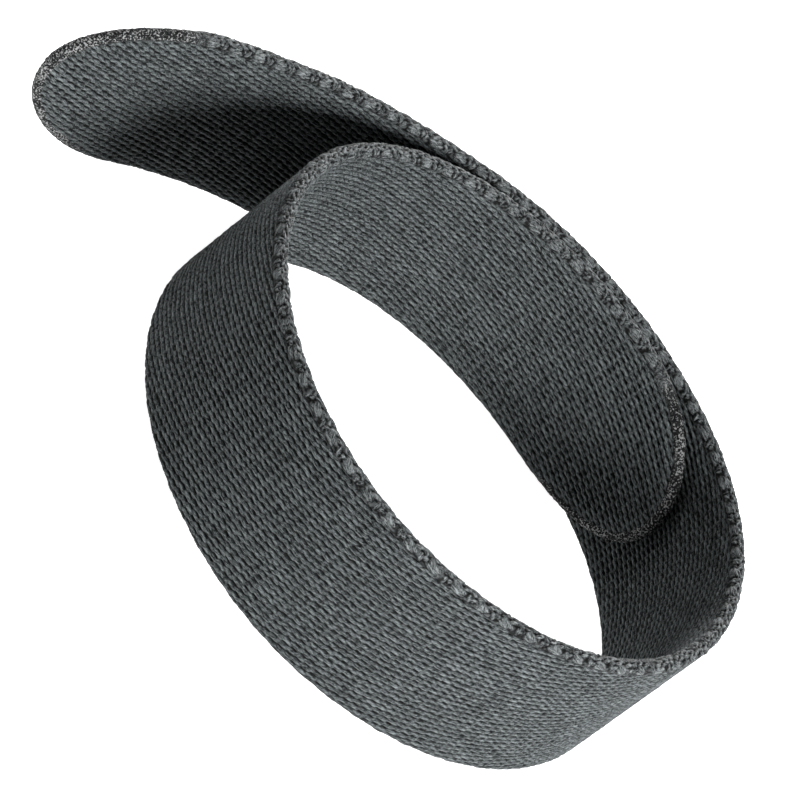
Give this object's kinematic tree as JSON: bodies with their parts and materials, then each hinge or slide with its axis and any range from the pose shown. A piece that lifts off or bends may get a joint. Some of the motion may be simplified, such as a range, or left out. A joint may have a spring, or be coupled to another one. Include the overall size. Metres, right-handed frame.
{
  "type": "esd wrist strap",
  "caption": "Woven webbing wrist band for static grounding, coiled in a spiral with rounded fused ends, a hook patch and a ground snap.",
  "frame": {"origin": "below the centre of the whole coiled strap, on the plane that its lower edge stands on", "axes": "+Z across the width of the band, +X along the longest way across the coil, from the free outer end towards the loop"},
  "size_m": [0.0839, 0.0672, 0.02],
  "materials": {
    "outer_weave": "dull twill weave",
    "inner_weave": "dull twill weave with conductive yarn",
    "selvedge": "looped yarn edge",
    "fused_edge": "melted fibre",
    "hook_tape": "fine hooks",
    "washer": "satin",
    "snap_metal": "satin nickel plate"
  },
  "bodies": {
    "band_01": {"outer_ply_01": "outer_weave", "inner_ply_01": "inner_weave", "selvedge_pair_01": "selvedge", "outer_end_seal": "fused_edge"},
    "band_02": {"outer_ply_02": "outer_weave", "inner_ply_02": "inner_weave", "selvedge_pair_02": "selvedge"},
    "band_03": {"outer_ply_03": "outer_weave", "inner_ply_03": "inner_weave", "selvedge_pair_03": "selvedge"},
    "band_04": {"outer_ply_04": "outer_weave", "inner_ply_04": "inner_weave", "selvedge_pair_04": "selvedge"},
    "band_05": {"outer_ply_05": "outer_weave", "inner_ply_05": "inner_weave", "selvedge_pair_05": "selvedge", "snap_washer": "washer", "snap_rivet": "snap_metal", "snap_stud": "snap_metal"},
    "band_06": {"outer_ply_06": "outer_weave", "inner_ply_06": "inner_weave", "selvedge_pair_06": "selvedge"},
    "band_07": {"outer_ply_07": "outer_weave", "inner_ply_07": "inner_weave", "selvedge_pair_07": "selvedge"},
    "band_08": {"outer_ply_08": "outer_weave", "inner_ply_08": "inner_weave", "selvedge_pair_08": "selvedge"},
    "band_09": {"outer_ply_09": "outer_weave", "inner_ply_09": "inner_weave", "selvedge_pair_09": "selvedge"},
    "band_10": {"outer_ply_10": "outer_weave", "inner_ply_10": "inner_weave", "selvedge_pair_10": "selvedge"},
    "band_11": {"outer_ply_11": "outer_weave", "inner_ply_11": "inner_weave", "selvedge_pair_11": "selvedge"},
    "band_12": {"outer_ply_12": "outer_weave", "inner_ply_12": "inner_weave", "selvedge_pair_12": "selvedge"},
    "band_13": {"outer_ply_13": "outer_weave", "inner_ply_13": "inner_weave", "selvedge_pair_13": "selvedge"},
    "band_14": {"outer_ply_14": "outer_weave", "inner_ply_14": "inner_weave", "selvedge_pair_14": "selvedge"},
    "band_15": {"outer_ply_15": "outer_weave", "inner_ply_15": "inner_weave", "selvedge_pair_15": "selvedge", "hook_patch": "hook_tape"},
    "band_16": {"outer_ply_16": "outer_weave", "inner_ply_16": "inner_weave", "selvedge_pair_16": "selvedge", "inner_end_seal": "fused_edge"}
  },
  "joints": [
    {"name": "outer_tip_curl", "type": "hinge", "parent": "band_02", "child": "band_01", "pos_m": [-0.03222, -0.00508, 0.01], "axis": [0, 0, -1], "range_deg": [-12, 24]},
    {"name": "outer_tip_flex", "type": "hinge", "parent": "band_03", "child": "band_02", "pos_m": [-0.02284, 0.00994, 0.01], "axis": [0, 0, -1], "range_deg": [-16, 36], "stiffness_Nm_per_rad": 0.002},
    {"name": "bend_03", "type": "hinge", "parent": "band_04", "child": "band_03", "pos_m": [-0.00974, 0.02194, 0.01], "axis": [0, 0, -1], "range_deg": [0, 19.5]},
    {"name": "bend_04", "type": "hinge", "parent": "band_05", "child": "band_04", "pos_m": [0.00644, 0.02898, 0.01], "axis": [0, 0, -1], "range_deg": [0, 30]},
    {"name": "bend_05", "type": "hinge", "parent": "band_06", "child": "band_05", "pos_m": [0.02391, 0.02714, 0.01], "axis": [0, 0, -1], "range_deg": [0, 35.5]},
    {"name": "bend_06", "type": "hinge", "parent": "band_07", "child": "band_06", "pos_m": [0.0371, 0.01568, 0.01], "axis": [0, 0, -1], "range_deg": [0, 36]},
    {"name": "bend_07", "type": "hinge", "parent": "band_08", "child": "band_07", "pos_m": [0.0412, -0.00139, 0.01], "axis": [0, 0, -1], "range_deg": [0, 32]},
    {"name": "unroll", "type": "hinge", "parent": "band_09", "child": "band_08", "pos_m": [0.03576, -0.01813, 0.01], "axis": [0, 0, -1], "range_deg": [0, 30], "stiffness_Nm_per_rad": 0.004},
    {"name": "bend_09", "type": "hinge", "parent": "band_09", "child": "band_10", "pos_m": [0.02268, -0.02991, 0.01], "axis": [0, 0, 1], "range_deg": [0, 34.5]},
    {"name": "bend_10", "type": "hinge", "parent": "band_10", "child": "band_11", "pos_m": [0.00538, -0.03234, 0.01], "axis": [0, 0, 1], "range_deg": [0, 37]},
    {"name": "bend_11", "type": "hinge", "parent": "band_11", "child": "band_12", "pos_m": [-0.01002, -0.02398, 0.01], "axis": [0, 0, 1], "range_deg": [0, 33.5]},
    {"name": "bend_12", "type": "hinge", "parent": "band_12", "child": "band_13", "pos_m": [-0.01842, -0.00852, 0.01], "axis": [0, 0, 1], "range_deg": [0, 34.5]},
    {"name": "bend_13", "type": "hinge", "parent": "band_13", "child": "band_14", "pos_m": [-0.01674, 0.00889, 0.01], "axis": [0, 0, 1], "range_deg": [0, 35.5]},
    {"name": "bend_14", "type": "hinge", "parent": "band_14", "child": "band_15", "pos_m": [-0.00534, 0.02224, 0.01], "axis": [0, 0, 1], "range_deg": [0, 33.5]},
    {"name": "inner_tip_flex", "type": "hinge", "parent": "band_15", "child": "band_16", "pos_m": [0.01149, 0.02722, 0.01], "axis": [0, 0, 1], "range_deg": [-24, 0], "stiffness_Nm_per_rad": 0.002}
  ],
  "couplings": [
    {"joint": "outer_tip_curl", "follows": "outer_tip_flex", "ratio": 0.5},
    {"joint": "bend_03", "follows": "unroll", "ratio": 0.63333},
    {"joint": "bend_04", "follows": "unroll", "ratio": 0.98333},
    {"joint": "bend_05", "follows": "unroll", "ratio": 1.1667},
    {"joint": "bend_06", "follows": "unroll", "ratio": 1.1833},
    {"joint": "bend_07", "follows": "unroll", "ratio": 1.05},
    {"joint": "bend_09", "follows": "unroll", "ratio": 1.1333},
    {"joint": "bend_10", "follows": "unroll", "ratio": 1.2167},
    {"joint": "bend_11", "follows": "unroll", "ratio": 1.1},
    {"joint": "bend_12", "follows": "unroll", "ratio": 1.1333},
    {"joint": "bend_13", "follows": "unroll", "ratio": 1.1667},
    {"joint": "bend_14", "follows": "unroll", "ratio": 1.1}
  ]
}
